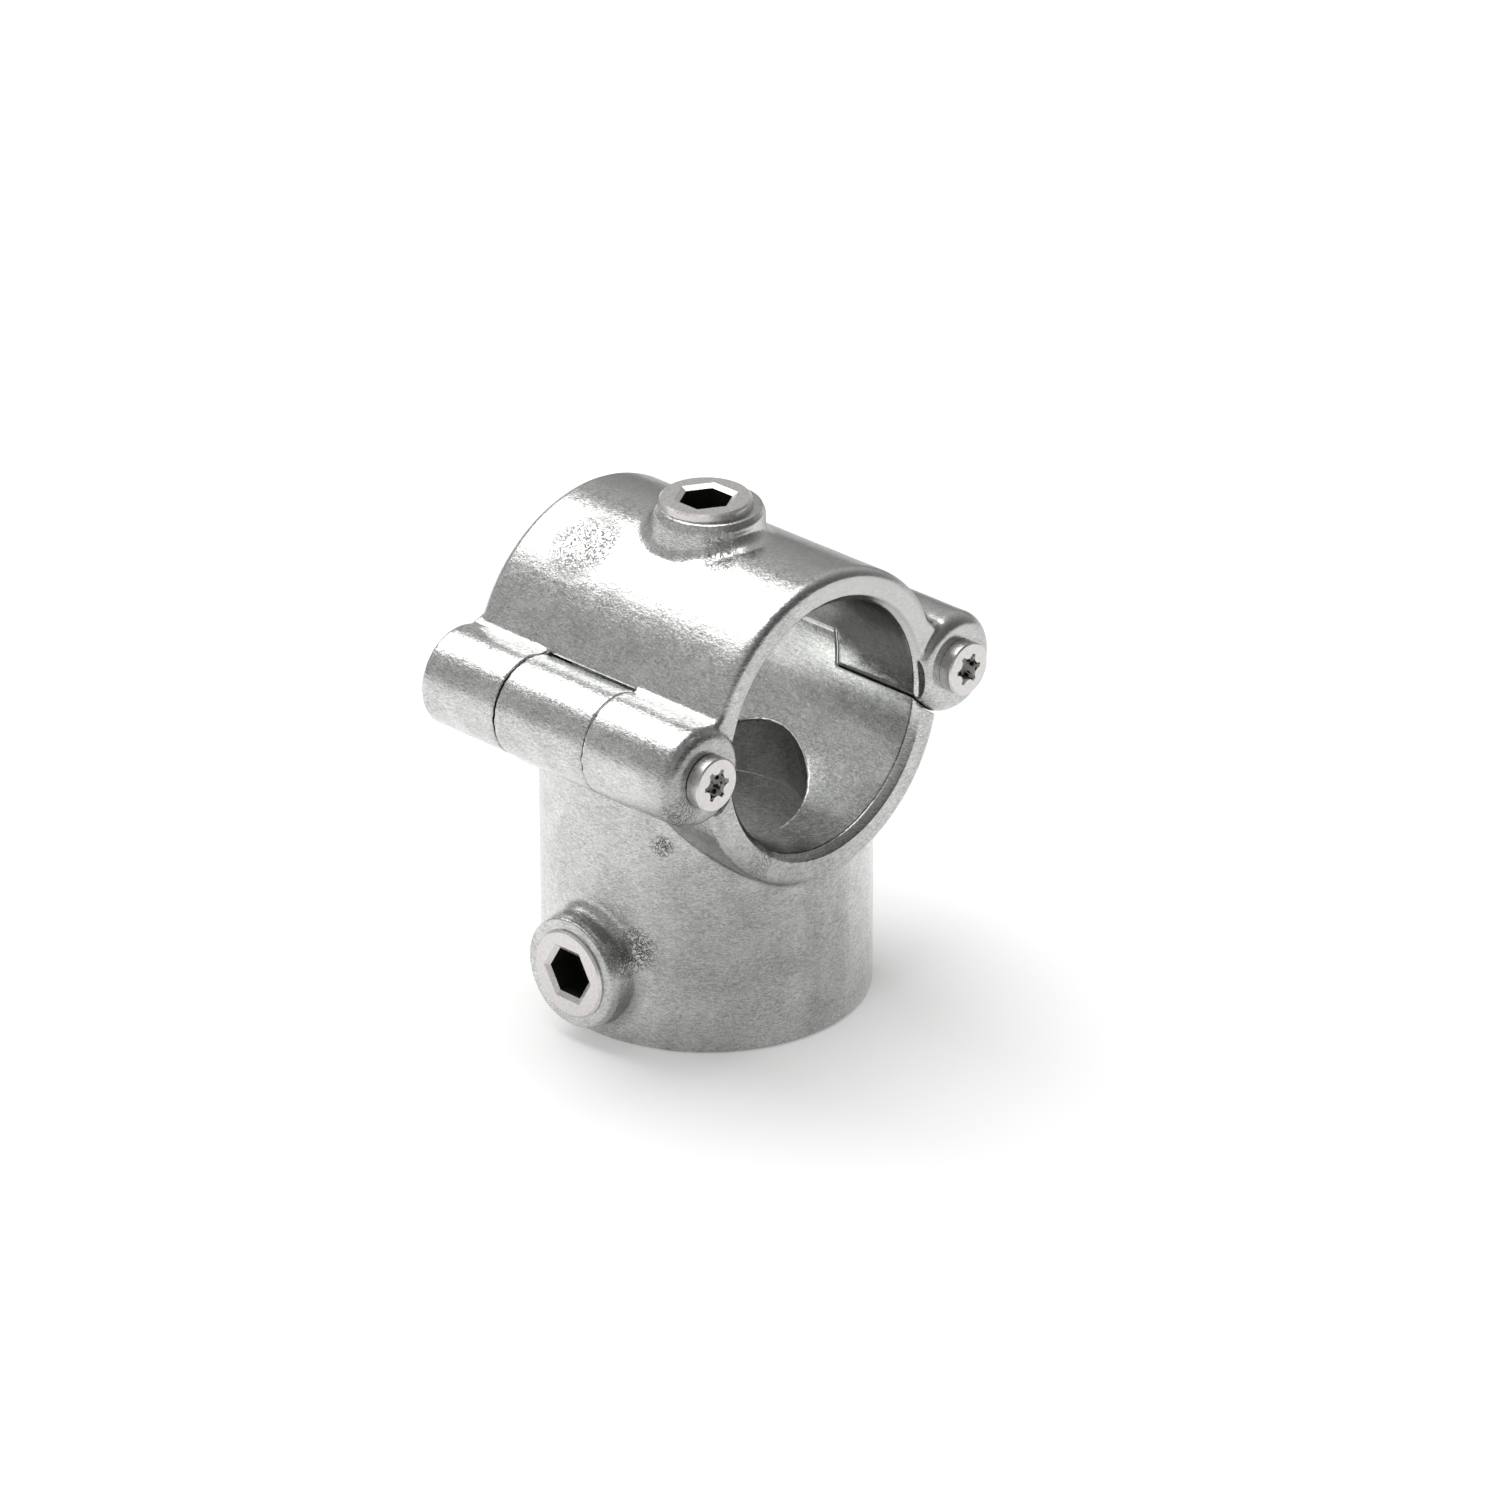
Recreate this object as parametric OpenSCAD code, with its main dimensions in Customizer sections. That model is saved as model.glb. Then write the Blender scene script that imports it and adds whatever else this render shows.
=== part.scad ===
// Tube clamp tee: a post socket under a split clamp for a rail.
// The rail's axis is X and the post's axis is Z. They cross at the origin.

/* [Tubes] */
// Outside diameter of the rail and of the post
tube_d = 42.4; // [33.7:0.1:48.3]
// How much wider than the tube a bore is
bore_play = 2; // [1:0.1:3]

/* [Clamp shells] */
// Wall of the clamp round the rail
clamp_wall = 5.8; // [5:0.1:8]
// How much longer the clamp is than the socket is wide
clamp_over = 0; // [0:0.5:10]
// Rounding of the clamp's outer edges
edge_round = 1.6; // [0.8:0.1:2.2]
// Chamfer at the mouth of each bore
mouth_chamfer = 1.3; // [0.5:0.1:2]

/* [Post socket] */
// Wall of the socket
socket_wall = 6.3; // [5:0.1:8]
// Depth that the post goes in
socket_depth = 31; // [26:0.5:45]
// Thickness of the stop between the post's end and the rail
stop_t = 3.8; // [2.5:0.1:6]
// How far the stop reaches in from the socket's wall
stop_reach = 5.2; // [3:0.1:8]
// Rounding of the socket's rim
rim_round = 0.8; // [0.3:0.1:1.5]

/* [Hinge ears] */
// Radius of an ear
ear_r = 9; // [8:0.1:11]
// Distance from the clamp's outside to the hinge axis
ear_out = 2.4; // [1.5:0.1:4]
// Height of the hinge axis above the rail's axis
ear_rise = 1.7; // [0:0.1:3]
// Length of the middle ear, which is part of the socket casting
mid_ear_len = 20.5; // [16:0.5:26]
// Offset of the middle ear along the rail
mid_ear_shift = -0.75; // [-2:0.25:2]
// End gap behind the middle ear
rear_gap = 0.4; // [0.2:0.05:1]
// End gap in front of the middle ear
front_gap = 0.1; // [0.1:0.05:1]
// Gap between an ear and the wall hollowed out for it
relief = 0.15; // [0.1:0.05:0.5]
// Radius of the valley between the cap and its ears
valley_r = 1.6; // [1:0.1:2.5]
// Slope of the web under the middle ear, in degrees
web_slope = 42; // [35:1:50]
// Rounding of the cap ears' front ends
ear_round = 1.2; // [0.6:0.1:1.5]
// Rounding of the cap ears' rear ends
rear_ear_round = 0.4; // [0.2:0.1:1.5]
// Radius of the lower front corner of the cap's ears
ear_toe = 3.5; // [1.5:0.1:5]

/* [Hinge screws] */
// Thread diameter
hinge_screw_d = 6; // [5:0.5:7]
// Length under the head
hinge_screw_len = 54; // [50:0.5:57]
// Bevel at the thread's end
hinge_bevel = 0.7; // [0.3:0.1:1.5]
// Head diameter
hinge_head_d = 9.4; // [8.5:0.1:12]
// Head height
hinge_head_h = 2.4; // [1.8:0.1:4]
// Bevel round the head's top
head_bevel = 0.25; // [0.1:0.05:0.6]
// Space between the head and the ear
hinge_head_gap = 1.3; // [0:0.1:2]
// Width of the six-lobe recess over its lobes
lobe_d = 5.6; // [4.5:0.1:5.8]
// Width of the recess between its valleys
lobe_root_d = 3.9; // [3:0.1:4.5]
// Radius of the valleys between the lobes
lobe_valley = 1.15; // [0.8:0.05:1.5]
// Depth of the six-lobe recess
lobe_depth = 2.6; // [1.5:0.1:3.5]
// Play of the shank in the plain holes, on the radius
shank_play = 0.2; // [0.1:0.05:0.4]

/* [Set screws] */
// Outside diameter of the pipe thread
set_screw_d = 16.66; // [14:0.01:18]
// Length of a set screw
set_screw_len = 11.3; // [9:0.1:14]
// Width across flats of the key socket
key_af = 8; // [6:0.5:9]
// Depth of the key socket
key_depth = 6.2; // [4:0.1:7]
// Depth and width of the chamfer round the key socket
key_chamfer = 0.6; // [0.2:0.1:1]
// Bevel of the thread's outer end
set_bevel = 0.35; // [0.2:0.05:1]
// Bevel of the tip
tip_bevel = 1.2; // [0.6:0.1:2]
// Width and depth of the cup in the tip
cup_d = 10.6; // [8:0.1:13]
cup_depth = 1.5; // [0.5:0.1:2.5]
// Distance from the bore's wall back to the screw's tip
tip_back = 0.1; // [0.05:0.05:2]
// Height of the post's set screw above the rim
post_screw_up = 13; // [12:0.5:16]

/* [Screw bosses] */
// Diameter of a boss
boss_d = 20.4; // [19:0.1:23]
// Height of the boss above the clamp
clamp_boss_h = 3.8; // [3:0.1:6]
// Height of the boss on the socket
socket_boss_h = 4; // [3:0.1:6]
// Rounding of a boss's rim
boss_round = 1; // [0.4:0.1:1.2]
// Radius of the fillet at a boss's foot
boss_fillet = 2.5; // [1.5:0.1:3.5]

/* [Hidden] */
$fn = 96;
eps = 0.02;
thread_play = 0.05;
casting_colour = "#b4b6b5";
screw_colour = "#d2cfcc";
head_colour = "#c3c6c8";

bore_r = (tube_d + bore_play) / 2;
clamp_r = bore_r + clamp_wall;
socket_r = bore_r + socket_wall;
clamp_half = socket_r + clamp_over / 2;
stop_z = -bore_r - stop_t;
rim_z = stop_z - socket_depth;
stop_r = bore_r - stop_reach;

ear_y = clamp_r + ear_out;
mid_rear_x = mid_ear_shift - mid_ear_len / 2;
mid_front_x = mid_ear_shift + mid_ear_len / 2;
hollow_r = ear_r + relief;
reach = 3 * clamp_r;

set_r = set_screw_d / 2;
set_face = bore_r + tip_back + set_screw_len;
post_screw_z = rim_z + post_screw_up;
boss_r = boss_d / 2;
clamp_boss_top = clamp_r + clamp_boss_h;
socket_boss_top = socket_r + socket_boss_h;
boss_sides = 48;
boss_steps = 6;
toe_sink = 0.1;
blend_sink = 0.03;
blend_root = 1.2;

hinge_r = hinge_screw_d / 2;
head_back = clamp_half + hinge_head_gap;

// Centre of the valley's circle between the cap and an ear, both at given radii
function apart() = norm([ear_y, ear_rise]);
function valley_along() = (pow(apart(), 2) + pow(clamp_r + valley_r, 2) - pow(ear_r + valley_r, 2))
                          / (2 * apart());
function valley_centre() =
    let (turn = atan2(ear_rise, ear_y) + acos(valley_along() / (clamp_r + valley_r)))
    (clamp_r + valley_r) * [cos(turn), sin(turn)];

// Plane outline of (y, z) drawn out along the rail
module along_rail(from, to) {
    translate([from, 0, 0]) rotate([90, 0, 90]) linear_extrude(height = to - from) children();
}

// Half outline of a bar whose end edges are rounded, for turning round its axis
module rounded_bar(r, low, high, low_round, high_round) {
    translate([0, low + low_round]) square([r, high - low - low_round - high_round]);
    translate([0, low]) square([r - low_round, low_round + eps]);
    translate([0, high - high_round - eps]) square([r - high_round, high_round + eps]);
    intersection() {
        union() {
            translate([r - low_round, low + low_round]) circle(low_round);
            translate([r - high_round, high - high_round]) circle(high_round);
        }
        translate([0, low]) square([r, high - low]);
    }
}

// The same bar standing along the rail at a place in y and z
module bar_along_rail(r, from, to, from_round, to_round, at = [0, 0]) {
    translate([0, at[0], at[1]]) rotate([0, 90, 0]) rotate_extrude()
        rounded_bar(r, from, to, from_round, to_round);
}

// Both sides of the rail
module both_sides() {
    children();
    mirror([0, 1, 0]) children();
}

// Ring of the clamp before it is split and bored
module clamp_ring() {
    bar_along_rail(clamp_r, -clamp_half, clamp_half, edge_round, edge_round);
}

// Bore for a tube, chamfered at both mouths
module rail_bore() {
    rotate([0, 90, 0]) {
        cylinder(r = bore_r, h = 2 * reach, center = true);
        for (end = [-1, 1])
            translate([0, 0, end * (clamp_half - mouth_chamfer / 2)])
                cylinder(r1 = bore_r + (end < 0 ? mouth_chamfer : 0),
                         r2 = bore_r + (end < 0 ? 0 : mouth_chamfer),
                         h = mouth_chamfer + 2 * eps, center = true);
    }
}

// Fillet round a boss of radius br that stands on +Z on a bar of radius sr along X
module boss_blend(br, sr, f) {
    b = br + f - blend_sink;
    s = sr + f - blend_sink;
    rings = [for (i = [0:boss_sides - 1])
        let (a = 360 * i / boss_sides,
             c = [b * cos(a), b * sin(a), sqrt(s * s - pow(b * sin(a), 2))],
             to_boss = [-cos(a), -sin(a), 0],
             to_shell = [0, -c[1], -c[2]] / s,
             open = acos(to_boss * to_shell),
             arc = [for (k = [0:boss_steps])
                 c + f * (sin(open * (1 - k / boss_steps)) * to_boss
                          + sin(open * k / boss_steps) * to_shell) / sin(open)],
             head = arc[0] + blend_root * to_boss,
             foot = arc[boss_steps] + blend_root * to_shell,
             corner = [head[0], head[1], foot[2]])
        concat([head], arc, [foot, corner])];
    n = boss_steps + 4;
    points = [for (ring = rings) for (p = ring) p];
    faces = [for (i = [0:boss_sides - 1]) for (k = [0:n - 1])
        let (j = (i + 1) % boss_sides, m = (k + 1) % n)
        each [[i * n + k, j * n + m, i * n + m], [i * n + k, j * n + k, j * n + m]]];
    polyhedron(points = points, faces = faces);
}

// Boss for a set screw, on +Z of a bar of radius sr along X
module boss(sr, top) {
    rotate_extrude() rounded_bar(boss_r, bore_r, top, eps, boss_round);
    boss_blend(boss_r, sr, boss_fillet);
}

// Threaded hole of a set screw, on +Z
module set_screw_hole(top) {
    translate([0, 0, bore_r / 2]) cylinder(r = set_r + thread_play, h = reach);
    translate([0, 0, top - set_bevel]) cylinder(r1 = set_r + thread_play,
        r2 = set_r + thread_play + set_bevel + eps, h = set_bevel + eps);
}

// Turns +Z to face the front of the socket, at the post's set screw
module at_post_screw() {
    translate([0, 0, post_screw_z]) rotate([0, -90, 0]) rotate([90, 0, 0]) children();
}

// Hollow for an ear, in the wall that faces it
module ear_hollow(from, to) {
    both_sides() translate([from, -ear_y, ear_rise]) rotate([0, 90, 0])
        cylinder(r = hollow_r, h = to - from);
}

// Valley between the cap and an ear, filled and then hollowed to a round
module ear_valley(from, to, to_round) {
    p = valley_centre();
    c = [-p[0], p[1]];
    difference() {
        along_rail(from, to) polygon([[-bore_r, 0], (clamp_r - edge_round) / norm(c) * c,
                                      c, [-ear_y, ear_rise]]);
        translate([from - eps, c[0], c[1]]) rotate([0, 90, 0])
            cylinder(r = valley_r, h = to - from + 2 * eps);
        translate([0, c[0], c[1]]) rotate([0, 90, 0]) rotate_extrude() difference() {
            translate([0, to - to_round]) square([valley_r + to_round, to_round + eps]);
            translate([valley_r + to_round, to - to_round]) circle(to_round);
        }
    }
}

// One ear of the cap, with its valley
module cap_ear(from, to, from_round, to_round) {
    both_sides() {
        bar_along_rail(ear_r, from, to, from_round, to_round, [-ear_y, ear_rise]);
        ear_valley(from, to, to_round);
    }
}

// Cuts the lower front corner of the cap's ears to a round
module ear_toe_cut() {
    low = ear_rise - ear_r;
    centre = [clamp_half - ear_toe + toe_sink, low + ear_toe - toe_sink];
    translate([0, reach, 0]) rotate([90, 0, 0]) linear_extrude(height = 2 * reach) difference() {
        translate([centre[0], low - ear_toe]) square([2 * ear_toe, 2 * ear_toe - toe_sink]);
        translate(centre) circle(ear_toe);
    }
}

// Middle ear with its sloping web, in outline
module mid_ear_outline() {
    touch = [-ear_y - ear_r * sin(web_slope), ear_rise - ear_r * cos(web_slope)];
    inner = -bore_r - eps;
    run = inner - touch[0];
    translate([-ear_y, ear_rise]) circle(ear_r);
    polygon([[-ear_y, ear_rise], touch, [inner, touch[1] - run * tan(web_slope)], [inner, 0]]);
}

module socket_casting() {
    color(casting_colour) difference() {
        union() {
            rotate_extrude() rounded_bar(socket_r, rim_z, 0, rim_round, eps);
            intersection() {
                clamp_ring();
                translate([-reach, -reach, -reach]) cube([2 * reach, 2 * reach, reach]);
            }
            both_sides() along_rail(mid_rear_x, mid_front_x) mid_ear_outline();
            at_post_screw() boss(socket_r, socket_boss_top);
        }
        rail_bore();
        translate([0, 0, rim_z - eps]) cylinder(r = bore_r, h = socket_depth + eps);
        translate([0, 0, rim_z - eps]) cylinder(r1 = bore_r + mouth_chamfer + eps, r2 = bore_r,
                                                h = mouth_chamfer + eps);
        translate([0, 0, rim_z]) cylinder(r = stop_r, h = -rim_z);
        ear_hollow(-reach, mid_rear_x);
        ear_hollow(mid_front_x, reach);
        both_sides() hinge_hole(mid_rear_x, mid_front_x, shank_play);
        at_post_screw() set_screw_hole(socket_boss_top);
    }
}

// Hole for a hinge screw in one ear
module hinge_hole(from, to, play) {
    translate([from - eps, -ear_y, ear_rise]) rotate([0, 90, 0])
        cylinder(r = hinge_r + play, h = to - from + 2 * eps);
}

module clamp_cap() {
    color(casting_colour) difference() {
        union() {
            intersection() {
                clamp_ring();
                translate([-reach, -reach, 0]) cube([2 * reach, 2 * reach, reach]);
            }
            cap_ear(-clamp_half, mid_rear_x - rear_gap, rear_ear_round, eps);
            cap_ear(mid_front_x + front_gap, clamp_half, eps, ear_round);
            boss(clamp_r, clamp_boss_top);
        }
        rail_bore();
        ear_hollow(mid_rear_x - rear_gap, mid_front_x + front_gap);
        ear_toe_cut();
        both_sides() {
            hinge_hole(-clamp_half, mid_rear_x - rear_gap, thread_play);
            hinge_hole(mid_front_x + front_gap, clamp_half, shank_play);
        }
        set_screw_hole(clamp_boss_top);
    }
}

// Set screw along +Z, with a cupped tip
module set_screw() {
    tip = bore_r + tip_back;
    difference() {
        rotate_extrude() polygon([[0, tip], [set_r - tip_bevel, tip], [set_r, tip + tip_bevel],
            [set_r, set_face - set_bevel], [set_r - set_bevel, set_face], [0, set_face]]);
        translate([0, 0, tip - eps])
            cylinder(d1 = cup_d, d2 = cup_d - 2 * cup_depth, h = cup_depth);
        translate([0, 0, set_face - key_depth])
            cylinder(d = key_af / cos(30), h = key_depth + eps, $fn = 6);
        translate([0, 0, set_face - key_chamfer])
            cylinder(d1 = key_af / cos(30) - eps, d2 = key_af / cos(30) + 2 * key_chamfer,
                     h = key_chamfer + eps, $fn = 6);
    }
}

module cap_set_screw() {
    color(screw_colour) set_screw();
}

module post_set_screw() {
    color(screw_colour) at_post_screw() set_screw();
}

// Hinge screw along the rail: it turns in two ears and is threaded into the third
module hinge_screw() {
    head_r = hinge_head_d / 2;
    translate([head_back, -ear_y, ear_rise]) rotate([0, 90, 0]) difference() {
        rotate_extrude() polygon([[0, -hinge_screw_len], [hinge_r - hinge_bevel, -hinge_screw_len],
            [hinge_r, hinge_bevel - hinge_screw_len], [hinge_r, 0], [head_r, 0],
            [head_r, hinge_head_h - head_bevel], [head_r - head_bevel, hinge_head_h],
            [0, hinge_head_h]]);
        translate([0, 0, hinge_head_h - lobe_depth]) linear_extrude(height = lobe_depth + eps)
            difference() {
                circle(d = lobe_d);
                for (i = [0:5]) rotate(60 * i)
                    translate([lobe_root_d / 2 + lobe_valley, 0]) circle(lobe_valley);
            }
    }
}

module near_hinge_screw() {
    color(head_colour) hinge_screw();
}

module far_hinge_screw() {
    color(head_colour) mirror([0, 1, 0]) hinge_screw();
}

socket_casting();
clamp_cap();
cap_set_screw();
post_set_screw();
near_hinge_screw();
far_hinge_screw();
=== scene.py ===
# Looks of a galvanised tube clamp tee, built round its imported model
import math
from functools import partial
import bmesh
import bpy
import numpy as np
from mathutils import Matrix, Vector


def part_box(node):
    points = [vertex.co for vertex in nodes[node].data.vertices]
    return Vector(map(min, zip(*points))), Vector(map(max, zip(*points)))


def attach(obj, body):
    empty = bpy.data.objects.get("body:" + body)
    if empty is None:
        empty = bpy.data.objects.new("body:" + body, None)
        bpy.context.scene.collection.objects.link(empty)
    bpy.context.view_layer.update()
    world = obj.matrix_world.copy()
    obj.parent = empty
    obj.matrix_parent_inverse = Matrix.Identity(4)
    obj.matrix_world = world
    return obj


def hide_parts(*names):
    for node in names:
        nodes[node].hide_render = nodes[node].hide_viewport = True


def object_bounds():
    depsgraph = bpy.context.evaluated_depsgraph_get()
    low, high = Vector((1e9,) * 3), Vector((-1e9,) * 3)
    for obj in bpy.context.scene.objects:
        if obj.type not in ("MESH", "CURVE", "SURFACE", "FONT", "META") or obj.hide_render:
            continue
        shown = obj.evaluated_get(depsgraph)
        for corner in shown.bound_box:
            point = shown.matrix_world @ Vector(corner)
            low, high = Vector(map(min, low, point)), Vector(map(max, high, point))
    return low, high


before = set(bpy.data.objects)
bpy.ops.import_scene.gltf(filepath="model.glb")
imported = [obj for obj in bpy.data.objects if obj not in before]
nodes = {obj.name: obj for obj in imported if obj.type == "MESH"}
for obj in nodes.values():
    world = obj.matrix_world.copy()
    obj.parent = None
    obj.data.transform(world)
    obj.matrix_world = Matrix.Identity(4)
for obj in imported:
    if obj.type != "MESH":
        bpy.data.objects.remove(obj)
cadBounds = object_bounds()
scene = bpy.context.scene
mm = 0.001  # in metres
tau = 2 * math.pi


def linearColour(hexText):
    channels = [int(hexText[i:i + 2], 16) / 255 for i in (1, 3, 5)]
    return [c / 12.92 if c <= 0.04045 else ((c + 0.055) / 1.055) ** 2.4 for c in channels] + [1]


def addNode(tree, kind, inputs={}, **settings):
    # An input is a socket, a node whose first output is meant, a hex colour or a plain value
    node = tree.nodes.new("ShaderNode" + kind)
    for name, value in settings.items():
        setattr(node, name, value)
    for name, value in inputs.items():
        if isinstance(value, bpy.types.Node):
            value = value.outputs[0]
        if isinstance(value, bpy.types.NodeSocket):
            tree.links.new(value, node.inputs[name])
        else:
            node.inputs[name].default_value = linearColour(value) if isinstance(value, str) else value
    return node


def newMaterial(name):
    # An empty material, and the function that adds its nodes
    material = bpy.data.materials.new(name)
    material.use_nodes = True
    material.node_tree.nodes.clear()
    return material, partial(addNode, material.node_tree)


def overMm(span):
    # Where a fade over a span in mm starts and ends
    return {"From Min": span[0] * mm, "From Max": span[1] * mm}


def fadeRound(add, place, centre, span, start, end):
    # A value that goes from start to end over a span of distances from a point, in mm
    away = add("VectorMath", {0: place, 1: [c * mm for c in centre]}, operation="DISTANCE")
    return add("MapRange", {"Value": away.outputs["Value"], **overMm(span), "To Min": start, "To Max": end})


# Hot-dip galvanised malleable iron: the zinc skin mirrors softly, with an orange-peel
# surface that breaks highlights into flecks, and faint grey clouds where the zinc froze
zinc = {
    "darkGrey": "#9fa09e", "lightGrey": "#e2e3e1", "greyFrom": 0.38, "greyTo": 0.62,
    "greyShares": {"cloud": 0.2, "mottle": 0.12, "streak": 0.68},
    "roughLow": 0.13, "roughHigh": 0.27, "roughFrom": 0.3, "roughTo": 0.7,
    "streakFlat": 3.2, "streakInGrain": 0.6, "peelDeepMm": 0.050, "grainDeepMm": 0.050,
    # The scars' grooves are darkened by painted shade
    "scarDeepMm": 0.18, "scarGroovePaintedShade": 0.62, "scarCore": 0.4, "ridgeWide": 0.05,
    "farSide": (-7, 1), "smoothBy": 0.2,
    # On the far upper side painted light makes the colour paler and painted shade dims the glancing
    # reflection
    "upperSide": (2, 10), "calmTo": 0.3, "calmPaintedLight": 1.12, "calmPaintedDimEdge": "#b6b6b6", "edge": "#ffffff",
    # Painted shade: the faces beyond the end of the rail are darkened, standing in for the dark reflection
    # they show
    "endFace": (27.7, 28.2), "endFacePaintedShade": 0.86,
}
# Patterns in the zinc: grain size in mm, detail, roughness and distortion
zincPatterns = {
    "cloud": (6.5, 3, 0.55, 0.4), "mottle": (0.9, 4, 0.65, 0.8), "streak": (0.8, 3, 0.6, 1.5),
    "peel": (1.5, 2, 0.5, 0), "grain": (0.5, 3, 0.6, 0), "wrinkle": (1.5, 2, 0.6, 2.5),
}
# Painted shade: patches where the skin is darkened to stand in for dark reflections; centre, span of
# distances in mm over which it fades, and the share of colour left there
paintedShadeSpots = [
    ((22, -18, -36), (8, 34), 0.58),
    ((30.0, -31.5, 1.0), (4, 13), 0.72),
]
# Centre and reach in mm of the places where the zinc froze with fine wrinkles, whose grooves get painted
# shade
zincScars = [
    ((-15, -14, 25), 7), ((10, -7, 29), 4),
    ((28.5, -35.6, -3), 4.5), ((26, -16, -19), 4),
    ((14, -25, -18), 2.3), ((10.5, -29, -38), 5),
]


def zincGrey(add, place, along, noise, calmAndPaintedLight, look):
    # Grey of the skin: clouds, mottle and streaks, more even where the calm mask is one and made paler there
    # by painted light; painted shade darkens the end faces and the shade spots
    shade = 0
    for pattern, share in look["greyShares"].items():
        shade = add("Math", {0: noise[pattern], 1: share, 2: shade}, operation="MULTIPLY_ADD")
    shade = add("MapRange", {"Value": shade, "From Min": look["greyFrom"], "From Max": look["greyTo"]})
    shade = add("Math", {0: shade, 1: 0.5}, operation="SUBTRACT")
    liveliness = add("MapRange", {"Value": calmAndPaintedLight, "To Min": 1, "To Max": look["calmTo"]})
    shade = add("Math", {0: shade, 1: liveliness, 2: 0.5}, operation="MULTIPLY_ADD")
    colour = add("Mix", {"Factor": shade, 6: look["darkGrey"], 7: look["lightGrey"]},
                 data_type="RGBA").outputs[2]

    # Painted light and shade as factors on the colour: paler on the calm side, darker on the end faces and
    # in the shade spots
    lights = [
        add("MapRange", {"Value": calmAndPaintedLight, "To Min": 1, "To Max": look["calmPaintedLight"]}),
        add("MapRange", {"Value": along, **overMm(look["endFace"]), "To Min": 1, "To Max": look["endFacePaintedShade"]}),
    ]
    lights += [fadeRound(add, place, centre, span, left, 1) for centre, span, left in paintedShadeSpots]
    for light in lights:
        colour = add("VectorMath", {0: colour, "Scale": light}, operation="SCALE")
    return colour


def zincWrinkles(add, place, wrinkle, look):
    # Height of the wrinkles, and painted shade that darkens the grooves between them, standing in for dark
    # reflections in them
    touched = 0
    for centre, reach in zincScars:
        inside = fadeRound(add, place, centre, (reach * look["scarCore"], reach), 1, 0)
        touched = add("Math", {0: touched, 1: inside}, operation="MAXIMUM")
    ridge = add("Math", {0: wrinkle, 1: 0.5}, operation="SUBTRACT")
    ridge = add("Math", {0: ridge}, operation="ABSOLUTE")
    ridge = add("MapRange", {"Value": ridge, "From Max": look["ridgeWide"]})
    ridge = add("Math", {0: ridge, 1: touched}, operation="MULTIPLY")
    groove = add("Math", {0: touched, 1: ridge}, operation="SUBTRACT")
    return ridge, add("Math", {0: groove, 1: -look["scarGroovePaintedShade"], 2: 1}, operation="MULTIPLY_ADD")


def galvanisedZinc(name, look):
    material, add = newMaterial(name)
    place = add("TexCoord").outputs["Object"]
    along, across, height = add("SeparateXYZ", {0: place}).outputs
    flattened = add("Mapping", {"Vector": place, "Scale": (1, 1, look["streakFlat"])})
    noise = {}
    for pattern, (sizeMm, detail, rough, twist) in zincPatterns.items():
        noise[pattern] = add("TexNoise", {
            "Vector": flattened if pattern == "streak" else place, "Scale": 1 / (sizeMm * mm),
            "Detail": detail, "Roughness": rough, "Distortion": twist})
    grain = add("Math", {0: noise["streak"], 1: look["streakInGrain"], 2: noise["grain"]},
                operation="MULTIPLY_ADD")

    # The far upper side is calm: its colour varies less, painted light makes it paler, and painted shade
    # dims its glancing reflection at a low angle
    far = add("MapRange", {"Value": across, **overMm(look["farSide"])})
    upper = add("MapRange", {"Value": height, **overMm(look["upperSide"])})
    calmAndPaintedLight = add("Math", {0: far, 1: upper}, operation="MULTIPLY")
    ridge, grooveShade = zincWrinkles(add, place, noise["wrinkle"], look)
    # Painted shade in the wrinkles' grooves darkens the colour
    colour = add("VectorMath", {0: zincGrey(add, place, along, noise, calmAndPaintedLight, look), "Scale": grooveShade},
                 operation="SCALE")
    # Painted shade: on the calm side the glancing reflection is tinted darker
    edge = add("Mix", {"Factor": calmAndPaintedLight, 6: look["edge"], 7: look["calmPaintedDimEdge"]}, data_type="RGBA").outputs[2]
    rough = add("MapRange", {"Value": noise["mottle"], "From Min": look["roughFrom"],
                             "From Max": look["roughTo"], "To Min": look["roughLow"],
                             "To Max": look["roughHigh"]})

    strength = add("MapRange", {"Value": far, "To Min": 1, "To Max": look["smoothBy"]})
    peel = add("Bump", {"Height": noise["peel"], "Distance": look["peelDeepMm"] * mm, "Strength": strength})
    grainy = add("Bump", {"Height": grain, "Distance": look["grainDeepMm"] * mm, "Strength": strength,
                          "Normal": peel})
    scarred = add("Bump", {"Height": ridge, "Distance": look["scarDeepMm"] * mm, "Strength": 1,
                           "Normal": grainy})
    skin = add("BsdfPrincipled", {"Base Color": colour, "Metallic": 1, "Roughness": rough,
                                  "Normal": scarred, "Specular Tint": edge})
    add("OutputMaterial", {"Surface": skin})
    return material


# Turned steel of the screws: satin, with fine uneven marks that a facing tool leaves
turned = {
    "low": "#c8c5c4", "high": "#dbd8d7", "grainMm": 0.5, "grainFrom": 0.3, "grainTo": 0.7,
    "roughLow": 0.26, "roughHigh": 0.36, "deepMm": 0.004,
}


def turnedSteel(name, look):
    material, add = newMaterial(name)
    place = add("TexCoord").outputs["Object"]
    grain = add("TexNoise", {"Vector": place, "Scale": 1 / (look["grainMm"] * mm), "Detail": 3,
                             "Roughness": 0.6})
    share = add("MapRange", {"Value": grain, "From Min": look["grainFrom"], "From Max": look["grainTo"]})
    colour = add("Mix", {"Factor": share, 6: look["low"], 7: look["high"]}, data_type="RGBA").outputs[2]
    rough = add("MapRange", {"Value": share, "To Min": look["roughLow"], "To Max": look["roughHigh"]})
    normal = add("Bump", {"Height": grain, "Distance": look["deepMm"] * mm, "Strength": 1})
    steel = add("BsdfPrincipled", {"Base Color": colour, "Metallic": 1, "Roughness": rough,
                                   "Normal": normal})
    add("OutputMaterial", {"Surface": steel})
    return material


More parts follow.
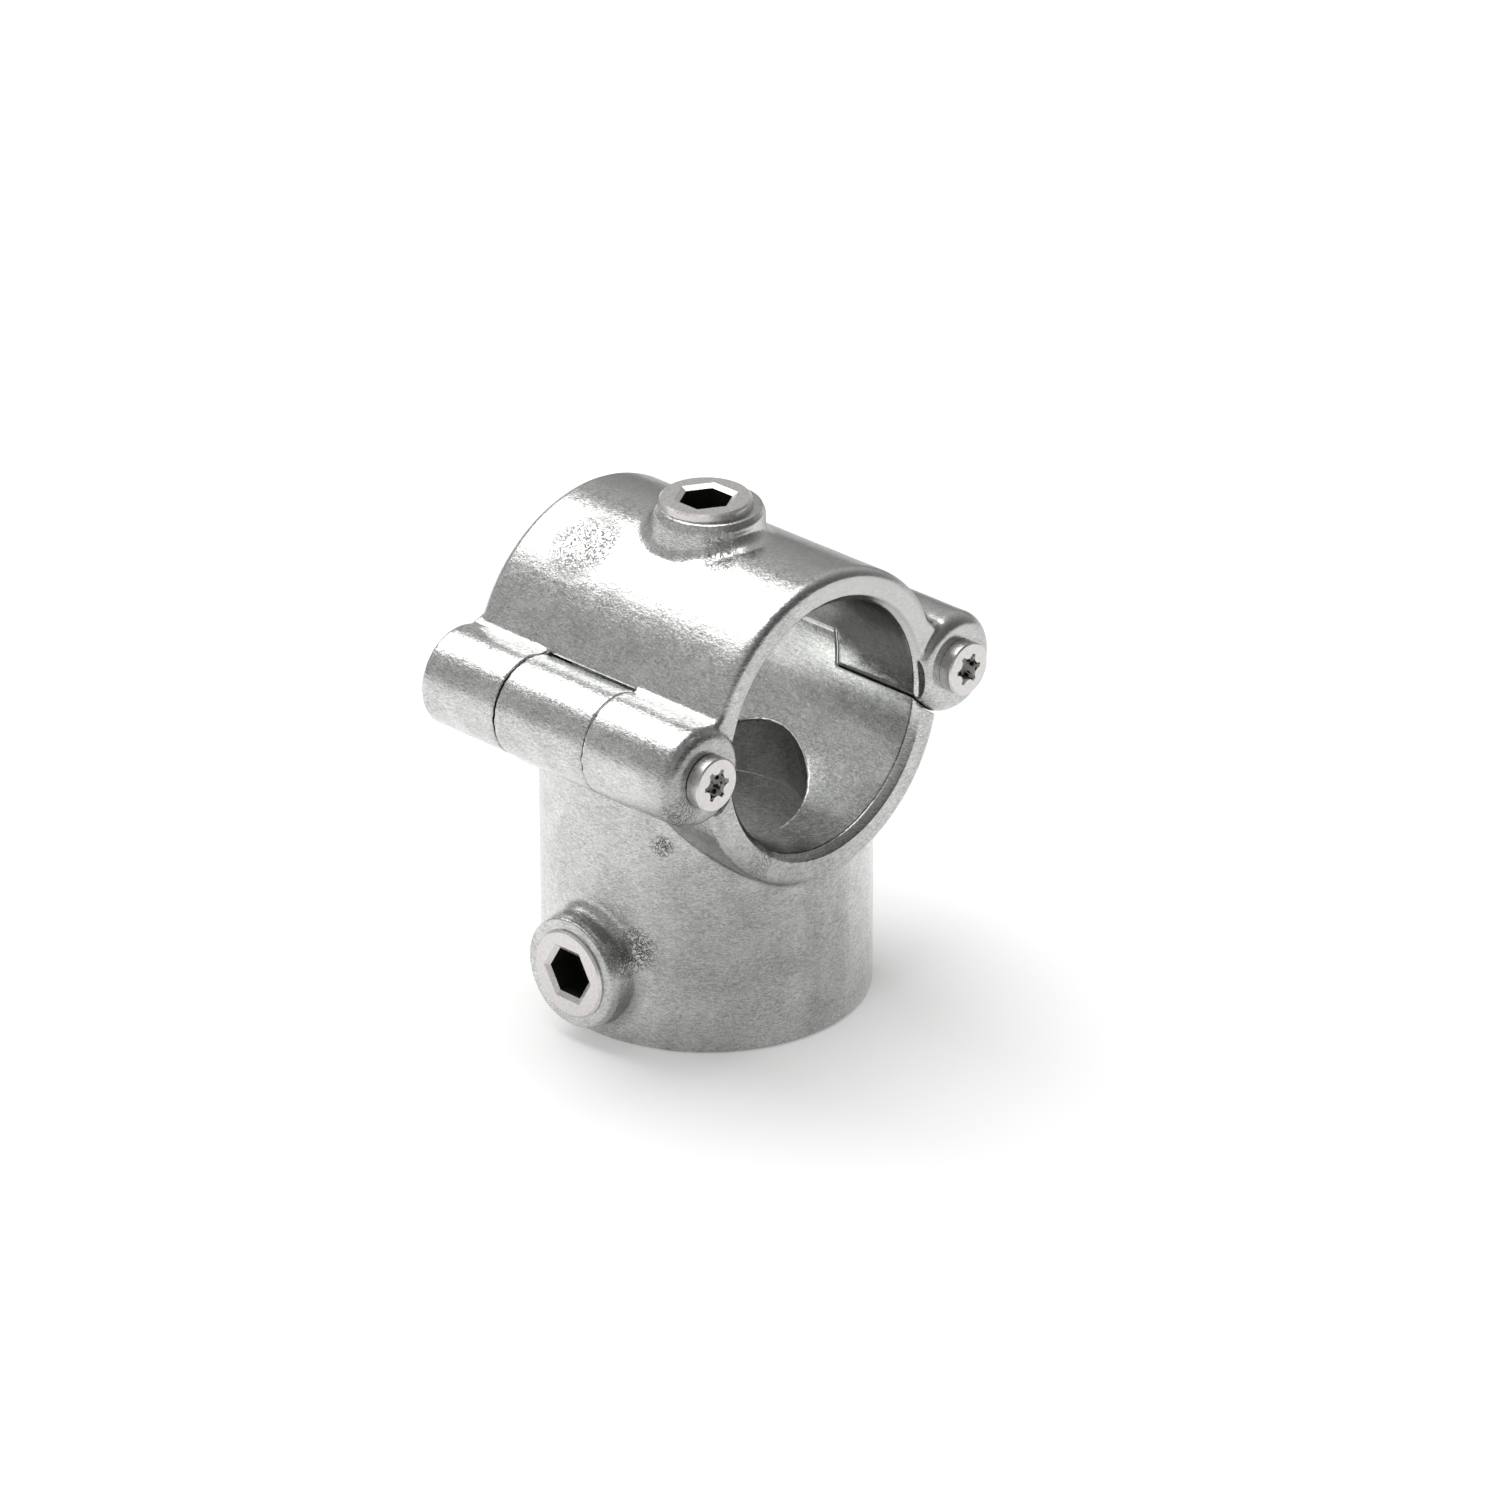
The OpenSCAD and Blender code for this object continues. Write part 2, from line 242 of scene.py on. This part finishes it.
# Painted shade: the inside of the key sockets is near black, standing in for the shade deep in the recess
keySocketShade = {"low": "#0d0d0b", "high": "#22221f", "shadeNoiseMm": 0.8, "deepMm": 0.02, "rough": 0.55, "shine": 0.2}


def paintedShadeSteel(name, look):
    material, add = newMaterial(name)
    place = add("TexCoord").outputs["Object"]
    shadeNoise = add("TexNoise", {"Vector": place, "Scale": 1 / (look["shadeNoiseMm"] * mm), "Detail": 3,
                            "Roughness": 0.6})
    colour = add("Mix", {"Factor": shadeNoise, 6: look["low"], 7: look["high"]}, data_type="RGBA").outputs[2]
    normal = add("Bump", {"Height": shadeNoise, "Distance": look["deepMm"] * mm, "Strength": 1})
    steel = add("BsdfPrincipled", {"Base Color": colour, "Roughness": look["rough"], "Normal": normal,
                                   "Specular IOR Level": look["shine"]})
    add("OutputMaterial", {"Surface": steel})
    return material


# Worn recess of the hinge screws: bright walls with spots of dirt
spotted = {
    "wall": "#e9e6e2", "dirt": "#1b1511", "dirtMm": 1.0, "dirtFrom": 0.5, "dirtTo": 0.56,
    "rough": 0.4, "metallic": 0.15,
}


def spottedSteel(name, look):
    material, add = newMaterial(name)
    place = add("TexCoord").outputs["Object"]
    dirt = add("TexNoise", {"Vector": place, "Scale": 1 / (look["dirtMm"] * mm), "Detail": 2,
                            "Roughness": 0.5})
    share = add("MapRange", {"Value": dirt, "From Min": look["dirtFrom"], "From Max": look["dirtTo"]})
    colour = add("Mix", {"Factor": share, 6: look["wall"], 7: look["dirt"]}, data_type="RGBA").outputs[2]
    steel = add("BsdfPrincipled", {"Base Color": colour, "Metallic": look["metallic"],
                                   "Roughness": look["rough"]})
    add("OutputMaterial", {"Surface": steel})
    return material


def bakedModifiers(piece):
    # Takes the piece's modifiers into its mesh
    shown = piece.evaluated_get(bpy.context.evaluated_depsgraph_get())
    mesh = bpy.data.meshes.new_from_object(shown)
    piece.modifiers.clear()
    old = piece.data
    piece.data = mesh
    bpy.data.meshes.remove(old)


def addModifier(piece, kind, name, settings):
    modifier = piece.modifiers.new(name, kind)
    for key, value in settings.items():
        setattr(modifier, key, value)


def joinBy(piece, how, tool):
    # Boolean of a piece with a tool object, which is then removed
    addModifier(piece, "BOOLEAN", how, {"operation": how, "solver": "MANIFOLD", "object": tool})
    bakedModifiers(piece)
    bpy.data.objects.remove(tool)


def meshPiece(name, shape):
    # Puts a bmesh in mm into the scene as an object in metres
    bmesh.ops.recalc_face_normals(shape, faces=shape.faces)
    bmesh.ops.scale(shape, verts=shape.verts, vec=(mm, mm, mm))
    mesh = bpy.data.meshes.new(name)
    shape.to_mesh(mesh)
    shape.free()
    piece = bpy.data.objects.new(name, mesh)
    scene.collection.objects.link(piece)
    return piece


def lathe(profile, steps):
    # Closed solid turned from (radius, height) points, whose line starts and ends on the axis
    # or comes back to its first point
    shape = bmesh.new()
    line = [shape.verts.new((r, 0, z)) for r, z in profile]
    edges = [shape.edges.new(pair) for pair in zip(line, line[1:])]
    bmesh.ops.spin(shape, geom=line + edges, cent=(0, 0, 0), axis=(0, 0, 1), dvec=(0, 0, 0),
                   angle=tau, steps=steps, use_merge=True, use_duplicate=False)
    bmesh.ops.remove_doubles(shape, verts=shape.verts, dist=1e-4)
    return shape


def rod(r, low, high, steps):
    # Plain round bar along the axis
    return lathe(((0, low), (r, low), (r, high), (0, high)), steps)


# Outline of one pitch of thread: share of its depth, from the crest inwards, and share of the pitch
threadForm = ((0, 0), (0, 0.12), (1, 0.44), (1, 0.56), (0, 0.88), (0, 1))


def threadedBar(crestR, pitch, deep, low, high, steps):
    # One pitch of the thread's outline is spun upwards, then cut level at both ends
    shape = bmesh.new()
    line = [shape.verts.new((crestR - inwards * deep, 0, low + (up - 1) * pitch))
            for inwards, up in threadForm]
    edges = [shape.edges.new(pair) for pair in zip(line, line[1:])]
    turns = math.ceil((high - low) / pitch) + 2
    bmesh.ops.spin(shape, geom=line + edges, cent=(0, 0, 0), axis=(0, 0, 1), dvec=(0, 0, pitch / steps),
                   angle=tau * turns, steps=steps * turns, use_merge=False, use_duplicate=False)
    bmesh.ops.remove_doubles(shape, verts=shape.verts, dist=1e-3)
    for level, side in ((low, -1), (high, 1)):
        everything = shape.verts[:] + shape.edges[:] + shape.faces[:]
        bmesh.ops.bisect_plane(shape, geom=everything, plane_co=(0, 0, level), plane_no=(0, 0, side),
                               clear_outer=True)
        rim = [e for e in shape.edges if e.is_boundary and all(abs(v.co.z - level) < 1e-4 for v in e.verts)]
        bmesh.ops.contextual_create(shape, geom=rim)
    return shape


# Axes of turned pieces: each triple says where local X, Y and Z go
upright = ((1, 0, 0), (0, 1, 0), (0, 0, 1))
frontward = ((0, 0, 1), (-1, 0, 0), (0, -1, 0))
alongRail = ((0, 0, -1), (0, 1, 0), (1, 0, 0))


def placed(axes, start):
    turn = Matrix(axes).transposed().to_4x4()
    turn.translation = start
    return turn


def placesOf(mesh):
    # Places of a mesh's vertices in mm
    flat = np.empty(len(mesh.vertices) * 3, np.float32)
    mesh.vertices.foreach_get("co", flat)
    return flat.reshape(-1, 3) / mm


def setPlaces(mesh, places):
    mesh.vertices.foreach_set("co", (places * mm).ravel())
    mesh.update()


def ramp(value, start, end):
    # From nought at start to one at end
    return np.clip((value - start) / (end - start), 0, 1)


def near(gap, reach):
    # From one where there is no gap to nought at reach
    return np.clip(1 - gap / reach, 0, 1)


def middleOf(node):
    # In mm
    return sum(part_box(node), Vector()) / 2 / mm


def hingeGap(p):
    # How far points are from the nearer hinge screw's axis
    axis = middleOf("near_hinge_screw")
    return np.hypot(np.abs(p[:, 1]) - abs(axis.y), p[:, 2] - axis.z)


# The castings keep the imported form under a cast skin, whose faces wave a little. The radii are those
# of the clamp's and the socket's outer walls in mm.
casting = {
    "voxelMm": 0.32, "evenPasses": 2, "wavesMm": 6.0, "waveDeepMm": 0.06, "triangles": 190000,
    "clampR": 28.0, "socketR": 28.5, "ringSteps": 72, "bendPoints": 9,
}
# Low cast rings in mm round the screws: inner and outer radius, both ends along the screw, how far
# the rounding runs along and across, axes and the screw
castRings = {
    "clamp_cap": [
        (7.5, 9.8, 30.5, 32.2, (0.3, 0.3), upright, "cap_set_screw"),
        (3.05, 8.3, 27.0, 29.7, (1.3, 2.7), alongRail, "near_hinge_screw"),
        (3.05, 8.93, 27.0, 29.78, (2.6, 2.6), alongRail, "far_hinge_screw"),
    ],
    "socket_casting": [(7.5, 9.9, 31.2, 33.0, (0.3, 0.3), frontward, "post_set_screw")],
}
clearWay = {"r": 22.8, "from": 20, "to": 40, "steps": 96}  # stays free of rings, along the bore


def addCastRings(piece, rings):
    for inner, outer, low, high, (along, across), axes, screw in rings:
        bend = [(outer - across + across * math.cos(a), high - along + along * math.sin(a))
                for a in np.linspace(0, math.pi / 2, casting["bendPoints"])]
        outline = [(inner, low), (outer, low)] + bend + [(inner, high), (inner, low)]
        ring = meshPiece("ring", lathe(outline, casting["ringSteps"]))
        start = middleOf(screw) * mm
        forward = Vector(axes[2])
        ring.data.transform(placed(axes, start - forward * start.dot(forward)))
        if axes == alongRail:
            bar = rod(clearWay["r"], clearWay["from"], clearWay["to"], clearWay["steps"])
            way = meshPiece("clearWay", bar)
            way.data.transform(placed(axes, Vector()))
            joinBy(ring, "DIFFERENCE", way)
        joinBy(piece, "UNION", ring)


# The cap boss narrows towards its rim and stands a little to one side of its screw
bossLean = {
    "height": (26.5, 32.0), "inwards": 0.93, "sideways": (0.56, 0.54),
    "insideR": (8.1, 9.3), "outsideR": (12.7, 11.2),
}


def leanBoss(piece, look):
    p = placesOf(piece.data)
    r = np.hypot(p[:, 0], p[:, 1])
    share = ramp(p[:, 2], *look["height"]) * ramp(r, *look["insideR"]) * ramp(r, *look["outsideR"])
    for i in (0, 1):
        p[:, i] += share * (look["sideways"][i] - look["inwards"] * p[:, i] / np.maximum(r, 1))
    setPlaces(piece.data, p)


# The cap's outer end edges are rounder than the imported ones, away from the ears
capEdge = {"endAt": 28.5, "roundR": 2.0, "offHinge": (9.3, 11.8), "offWall": 0.1}


def roundCapEnds(piece, look):
    p = placesOf(piece.data)
    big = look["roundR"]
    outerR = casting["clampR"]
    fromRail = np.hypot(p[:, 1], p[:, 2])
    along = np.abs(p[:, 0]) - look["endAt"] + big
    across = fromRail - outerR + big
    reach = np.hypot(along, across)
    corner = (along > 0) & (across > 0) & (reach > big) & (p[:, 2] > 0)
    corner &= fromRail < outerR + look["offWall"]
    back = corner * ramp(hingeGap(p), *look["offHinge"]) * (1 - big / np.maximum(reach, 0.1))
    p[:, 0] -= np.sign(p[:, 0]) * along * back
    nearer = across * back / np.maximum(fromRail, 1)
    p[:, 1] -= p[:, 1] * nearer
    p[:, 2] -= p[:, 2] * nearer
    setPlaces(piece.data, p)


# The webs under the middle ears slope less, in degrees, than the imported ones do
webSlope = {
    "was": 42, "shown": 35.5, "earR": 9, "most": 2, "fadeMm": 6, "middleX": -0.75,
    "halfLong": (12.3, 10.8), "below": -2, "insideWall": 0.4,
}


def liftWebs(piece, look):
    p = placesOf(piece.data)
    axis = middleOf("near_hinge_screw")
    out = np.abs(p[:, 1])

    def underside(degrees):
        a = math.radians(degrees)
        low = axis.z - look["earR"] * math.cos(a)
        return low - (abs(axis.y) + look["earR"] * math.sin(a) - out) * math.tan(a)

    was = underside(look["was"])
    lift = (underside(look["shown"]) - was).clip(0, look["most"])
    share = near(np.abs(was - p[:, 2]), look["fadeMm"])
    share *= ramp(np.abs(p[:, 0] - look["middleX"]), *look["halfLong"])
    outside = np.hypot(p[:, 0], p[:, 1]) > casting["socketR"] - look["insideWall"]
    outside &= p[:, 2] < look["below"]
    p[:, 2] += lift * share * outside
    setPlaces(piece.data, p)


# The clamp half's rear end is thinner below, so that nothing of it shows under the ears
rearRim = {
    "lift": 3.0, "alongRail": (-8, -16), "offSide": (27, 21), "offBore": (22.6, 27.1), "offPost": (24, 27),
    "deepMm": 10, "below": -4,
}


def thinRearRim(piece, look):
    p = placesOf(piece.data)
    x, y, z = p[:, 0], p[:, 1], p[:, 2]
    depth = -np.sqrt(np.clip(casting["clampR"] ** 2 - y ** 2, 0, None)) - z
    lift = look["lift"] * ramp(x, *look["alongRail"]) * ramp(np.abs(y), *look["offSide"])
    lift *= ramp(np.hypot(y, z), *look["offBore"]) * ramp(np.hypot(x, y), *look["offPost"])
    p[:, 2] += lift * ramp(depth, look["deepMm"], 0) * (z < look["below"])
    setPlaces(piece.data, p)


# Inner corners that flow together as cast ones do: the saddle on the socket, the webs' front ends and
# their feet. Lengths in mm, and passes of smoothing.
seams = {
    "saddleReach": 2.4, "saddlePasses": 9, "saddleBelow": -3,
    "webX": 9.5, "webReach": 1.5, "webPasses": 8, "webBelow": -9, "insideWall": 0.5,
    "footReach": 1.5, "footPasses": 12, "footOut": 20, "footToX": 13,
}


def socketZones(piece, look):
    p = placesOf(piece.data)
    x, y, z = p[:, 0], p[:, 1], p[:, 2]
    offRail = np.hypot(y, z) - casting["clampR"]
    offPost = np.hypot(x, y) - casting["socketR"]
    below = z < look["webBelow"]
    saddle = near(np.hypot(offRail, offPost), look["saddleReach"]) * (z < look["saddleBelow"])
    web = near(np.abs(x - look["webX"]), look["webReach"]) * below * (offPost > -look["insideWall"])
    foot = near(np.abs(offPost), look["footReach"]) * below
    foot *= (np.abs(y) > look["footOut"]) * (x < look["footToX"])
    return [("saddle", saddle, look["saddlePasses"]), ("web", web, look["webPasses"]),
            ("foot", foot, look["footPasses"])]


# The front ends of the cap's ears melt into the low collars under the screw heads
earEnds = {"fromX": (27.5, 28.1), "offScrew": (3.6, 4.4), "reach": 9.5, "passes": 6}


def capZones(piece, look):
    p = placesOf(piece.data)
    gap = hingeGap(p)
    ends = ramp(p[:, 0], *look["fromX"]) * ramp(gap, *look["offScrew"]) * (gap < look["reach"])
    return [("earEnds", ends, look["passes"])]


weightSteps = 20  # that a zone's weights are held in


def soften(piece, zones):
    # Smooths each zone by its weights, through a vertex group
    for zone, weights, passes in zones:
        group = piece.vertex_groups.new(name=zone)
        steps = np.round(weights * weightSteps).astype(int)
        for step in range(1, weightSteps + 1):
            group.add(np.flatnonzero(steps == step).tolist(), step / weightSteps, "REPLACE")
        addModifier(piece, "SMOOTH", zone, {"factor": 0.5, "iterations": passes, "vertex_group": zone})


def copyOfNode(node, name):
    # The node's own mesh is loose triangles, so the copy is merged
    mesh = nodes[node].data.copy()
    mesh.name = name
    mesh.materials.clear()
    shape = bmesh.new()
    shape.from_mesh(mesh)
    bmesh.ops.remove_doubles(shape, verts=shape.verts, dist=1e-6)
    shape.to_mesh(mesh)
    shape.free()
    piece = bpy.data.objects.new(name, mesh)
    scene.collection.objects.link(piece)
    return piece


def castPiece(node, name, look):
    piece = copyOfNode(node, name)
    addCastRings(piece, castRings[node])
    addModifier(piece, "REMESH", "skin", {"mode": "VOXEL", "voxel_size": look["voxelMm"] * mm})
    bakedModifiers(piece)
    if node == "clamp_cap":
        leanBoss(piece, bossLean)
        roundCapEnds(piece, capEdge)
        soften(piece, capZones(piece, earEnds))
    else:
        liftWebs(piece, webSlope)
        thinRearRim(piece, rearRim)
        soften(piece, socketZones(piece, seams))
    addModifier(piece, "SMOOTH", "even", {"factor": 0.5, "iterations": look["evenPasses"]})
    waves = bpy.data.textures.new(name + "Waves", "CLOUDS")
    waves.noise_scale = look["wavesMm"] * mm
    addModifier(piece, "DISPLACE", "uneven", {"texture": waves, "texture_coords": "LOCAL",
                                              "strength": look["waveDeepMm"] * mm, "mid_level": 1.0})
    bakedModifiers(piece)
    count = sum(len(f.vertices) - 2 for f in piece.data.polygons)
    if count > look["triangles"]:
        addModifier(piece, "DECIMATE", "fewer", {"ratio": look["triangles"] / count})
        bakedModifiers(piece)
    for face in piece.data.polygons:
        face.use_smooth = True
    print(name, "triangles", count, "kept", len(piece.data.polygons))
    return piece


zincSkin = galvanisedZinc("hotDipGalvanisedZinc", zinc)
steelSkin = turnedSteel("turnedSteel", turned)
keySocketShadeSkin = paintedShadeSteel("keySocketPaintedShade", keySocketShade)
recessSkin = spottedSteel("spottedScrewRecess", spotted)
print("skins ready")
for node in ("socket_casting", "clamp_cap"):
    piece = castPiece(node, node + "_cast", casting)
    piece.data.materials.clear()
    piece.data.materials.append(zincSkin)
    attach(piece, "root")
    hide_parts(node)


# Set screws: a pipe-thread stub with a bevelled face, a hexagon key socket and a cup point
setScrew = {
    "steps": 72, "pitch": 1.337, "threadDeep": 0.75, "threadBelow": 1.6, "crownR": 7.85, "crownHigh": 2.2,
    "faceBevel": 0.35, "tipBevel": 1.2, "cupR": 5.3, "cupDeep": 1.5,
    "keyAcross": 8.0, "keyDeep": 6.2, "keyChamfer": 0.62, "keyFlare": 0.88,
}
toHexCorner = 1 / math.cos(math.radians(30))
sharpAngle = math.radians(28)  # from which the turned pieces' edges stay sharp
past = 1  # mm that a cutter reaches past what it cuts
threadFrom = -0.5  # mm, where a thread starts below the screw's end


def hexTool(across, low, high, grow, turnBy):
    shape = bmesh.new()
    cornerR = across / 2 * toHexCorner
    bmesh.ops.create_cone(shape, cap_ends=True, segments=6, radius1=cornerR, radius2=cornerR + grow,
                          depth=high - low)
    bmesh.ops.rotate(shape, verts=shape.verts, matrix=Matrix.Rotation(math.radians(turnBy), 3, "Z"))
    bmesh.ops.translate(shape, verts=shape.verts, vec=(0, 0, (low + high) / 2))
    return meshPiece("keyTool", shape)


def finishScrew(piece, node, axes, start, inner, innerSkin):
    # inner says which faces are inside the key socket, from a face centre in mm
    piece.data.materials.clear()
    for part in (steelSkin, innerSkin):
        piece.data.materials.append(part)
    for face in piece.data.polygons:
        face.use_smooth = True
        face.material_index = int(inner(Vector(face.center) / mm))
    piece.data.set_sharp_from_angle(angle=sharpAngle)
    piece.data.transform(placed(axes, start))
    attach(piece, "root")
    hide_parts(node)
    print(node, "faces", len(piece.data.polygons))


def addSetScrew(node, axes, start, look, turnBy):
    # Local Z runs from the cup point at nought to the face
    low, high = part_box(node)
    sizes = sorted((high - low) / mm)
    length, r = sizes[0], sizes[2] / 2
    steps, bevel, tip, crownR = look["steps"], look["faceBevel"], look["tipBevel"], look["crownR"]
    crownLow = length - look["crownHigh"]
    blank = lathe(((0, 0), (r - tip, 0), (r, tip), (r, crownLow - r + crownR), (crownR, crownLow),
                   (crownR, length - bevel), (crownR - bevel, length), (0, length)), steps)
    piece = meshPiece(node + "_turned", blank)
    threadTo = length - look["threadBelow"]
    thread = threadedBar(r, look["pitch"], look["threadDeep"], threadFrom, threadTo, steps)
    cutter = meshPiece("thread", thread)
    joinBy(cutter, "UNION", meshPiece("crown", rod(r + past, crownLow, length + past, steps)))
    joinBy(piece, "INTERSECT", cutter)

    chamfer = look["keyChamfer"]
    keyLow = length - look["keyDeep"]
    joinBy(piece, "DIFFERENCE", hexTool(look["keyAcross"], keyLow, length + past, 0, turnBy))
    joinBy(piece, "DIFFERENCE", hexTool(look["keyAcross"] - 0.05, length - chamfer, length + chamfer,
                                        2 * look["keyFlare"] * toHexCorner, turnBy))
    cupR, cupDeep = look["cupR"], look["cupDeep"]
    cup = lathe(((0, -past), (cupR, -past), (cupR, 0), (cupR - cupDeep, cupDeep), (0, cupDeep)), steps)
    joinBy(piece, "DIFFERENCE", meshPiece("cup", cup))
    cornerR = look["keyAcross"] / 2 * toHexCorner

    def inKey(c):
        return math.hypot(c.x, c.y) < cornerR + 0.02 and keyLow - 0.05 < c.z < length - chamfer + 0.02

    finishScrew(piece, node, axes, start, inKey, keySocketShadeSkin)


# Hinge screws: a low cylinder head with a six-lobe recess, on a shank threaded at its far end
hingeScrew = {
    "steps": 64, "headHigh": 2.4, "headBevel": 0.25, "shankR": 2.8, "threadR": 3.0, "pitch": 1.0,
    "threadDeep": 0.55, "threadTo": 16.0, "threadLong": 17.0, "endBevel": 0.7,
    "lobes": 6, "lobeR": 2.8, "rootR": 1.95, "valleyR": 1.15, "valleySteps": 24, "recessDeep": 2.6,
}


def sixLobeTool(low, high, look):
    # A round bar less the ridges between its lobes
    tool = meshPiece("recess", rod(look["lobeR"], low, high, look["steps"]))
    ridges = bmesh.new()
    away = look["rootR"] + look["valleyR"]
    for i in range(look["lobes"]):
        ridge = rod(look["valleyR"], low - past, high + past, look["valleySteps"])
        a = tau * i / look["lobes"]
        bmesh.ops.translate(ridge, verts=ridge.verts, vec=(away * math.cos(a), away * math.sin(a), 0))
        part = bpy.data.meshes.new("ridge")
        ridge.to_mesh(part)
        ridge.free()
        ridges.from_mesh(part)
    joinBy(tool, "DIFFERENCE", meshPiece("ridges", ridges))
    return tool


def addHingeScrew(node, look):
    # Local Z runs from the threaded end at nought to the head's face
    low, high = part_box(node)
    middle = (low + high) / 2
    length = (high.x - low.x) / mm
    headR = (high.z - low.z) / 2 / mm
    under = length - look["headHigh"]
    bevel, end, r = look["headBevel"], look["endBevel"], look["threadR"]
    threadLong, shankR = look["threadLong"], look["shankR"]
    blank = lathe(((0, 0), (r - end, 0), (r, end), (r, threadLong), (shankR, threadLong + 0.3),
                   (shankR, under), (headR, under), (headR, length - bevel), (headR - bevel, length),
                   (0, length)), look["steps"])
    piece = meshPiece(node + "_turned", blank)
    threadTo = look["threadTo"]
    thread = threadedBar(r, look["pitch"], look["threadDeep"], threadFrom, threadTo, look["steps"] // 2)
    cutter = meshPiece("thread", thread)
    sleeve = rod(headR + past, threadTo - past, length + past, look["steps"])
    joinBy(cutter, "UNION", meshPiece("sleeve", sleeve))
    joinBy(piece, "INTERSECT", cutter)
    floor = length - look["recessDeep"]
    joinBy(piece, "DIFFERENCE", sixLobeTool(floor, length + past, look))

    def inRecess(c):
        return math.hypot(c.x, c.y) < look["lobeR"] + 0.1 and floor - 0.1 < c.z < length - 0.02

    start = Vector((low.x, middle.y, middle.z))
    finishScrew(piece, node, alongRail, start, inRecess, recessSkin)


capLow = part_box("cap_set_screw")[0]
postLow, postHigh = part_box("post_set_screw")
addSetScrew("cap_set_screw", upright, Vector((0, 0, capLow.z)), setScrew, 90)
addSetScrew("post_set_screw", frontward, Vector((0, postHigh.y, (postLow.z + postHigh.z) / 2)), setScrew, 60)
addHingeScrew("near_hinge_screw", hingeScrew)
addHingeScrew("far_hinge_screw", hingeScrew)

# Camera: the photograph's place and lens, worked out from the bores' and the rim's ellipses
cameraView = {
    "place": (0.85634, -0.87477, 0.59434), "azimuth": 44.0434, "elevation": 26.4165, "roll": 0.0236,
    "focalPixels": 8064, "framePixels": 1500, "sensorMm": 36, "clipEnd": 20,
}


def addCamera(look):
    lens = bpy.data.cameras.new("camera")
    lens.sensor_width = look["sensorMm"]
    lens.lens = look["focalPixels"] * look["sensorMm"] / look["framePixels"]
    lens.clip_end = look["clipEnd"]
    camera = bpy.data.objects.new("camera", lens)
    scene.collection.objects.link(camera)
    a = math.radians(look["azimuth"])
    e = math.radians(look["elevation"])
    back = Vector((math.sin(a) * math.cos(e), -math.cos(a) * math.cos(e), math.sin(e)))
    right = Vector((math.cos(a), math.sin(a), 0))
    turn = Matrix((right, back.cross(right), back)).transposed()
    turn = turn @ Matrix.Rotation(math.radians(look["roll"]), 3, "Z")
    camera.matrix_world = Matrix.Translation(look["place"]) @ turn.to_4x4()
    scene.camera = camera


# Studio: a wide pale floor, one large softbox up to the left and an even grey room, darker
# towards the right so that the zinc has something dark to mirror
studio = {
    "floorRadius": 4.0, "floorColour": "#e9e9e9", "floorLift": 0.26,
    "boxAzimuth": -89, "boxElevation": 70, "boxAway": 1.6, "boxWide": 1.18, "boxTall": 2.1, "boxPower": 25.5,
    "roomGrey": "#c2c2c1", "darkSide": (0.85, 0.35, 0.25), "darkFrom": 0.35, "darkTo": 0.95, "darkLeft": 0.3,
}


def addFloor(look):
    shape = bmesh.new()
    bmesh.ops.create_circle(shape, cap_ends=True, segments=96, radius=look["floorRadius"])
    bmesh.ops.translate(shape, verts=shape.verts, vec=(0, 0, cadBounds[0][2]))
    mesh = bpy.data.meshes.new("floor")
    shape.to_mesh(mesh)
    shape.free()
    floor = bpy.data.objects.new("floor", mesh)
    scene.collection.objects.link(floor)
    material, add = newMaterial("matWhitePaperFloor")
    rays = add("LightPath").outputs
    seen = add("Math", {0: rays["Is Glossy Ray"], 1: rays["Is Transmission Ray"]}, operation="MAXIMUM")
    seen = add("Math", {0: rays["Is Camera Ray"], 1: seen}, operation="MAXIMUM")
    paper = add("BsdfDiffuse", {"Color": look["floorColour"]})
    glow = add("Math", {0: seen, 1: look["floorLift"]}, operation="MULTIPLY")
    lift = add("Emission", {"Strength": glow})
    add("OutputMaterial", {"Surface": add("AddShader", {0: paper, 1: lift})})
    mesh.materials.append(material)


def addSoftbox(look):
    lamp = bpy.data.lights.new("softbox", "AREA")
    lamp.shape = "RECTANGLE"
    lamp.size = look["boxWide"]
    lamp.size_y = look["boxTall"]
    lamp.energy = look["boxPower"]
    box = bpy.data.objects.new("softbox", lamp)
    scene.collection.objects.link(box)
    a = math.radians(look["boxAzimuth"])
    e = math.radians(look["boxElevation"])
    toBox = Vector((math.sin(a) * math.cos(e), math.cos(a) * math.cos(e), math.sin(e)))
    box.location = toBox * look["boxAway"]
    box.rotation_euler = toBox.to_track_quat("Z", "Y").to_euler()
    box.visible_camera = False


def addRoom(look):
    world = bpy.data.worlds.new("greyRoom")
    scene.world = world
    world.use_nodes = True
    world.node_tree.nodes.clear()
    add = partial(addNode, world.node_tree)
    toward = add("TexCoord").outputs["Generated"]
    dark = Vector(look["darkSide"]).normalized()
    facing = add("VectorMath", {0: toward, 1: dark}, operation="DOT_PRODUCT").outputs["Value"]
    dim = add("MapRange", {"Value": facing, "From Min": look["darkFrom"], "From Max": look["darkTo"],
                           "To Min": 1, "To Max": look["darkLeft"]})
    add("OutputWorld", {"Surface": add("Background", {"Color": look["roomGrey"], "Strength": dim})})


addCamera(cameraView)
addFloor(studio)
addSoftbox(studio)
addRoom(studio)
scene.view_settings.view_transform = "Standard"
print("studio ready")
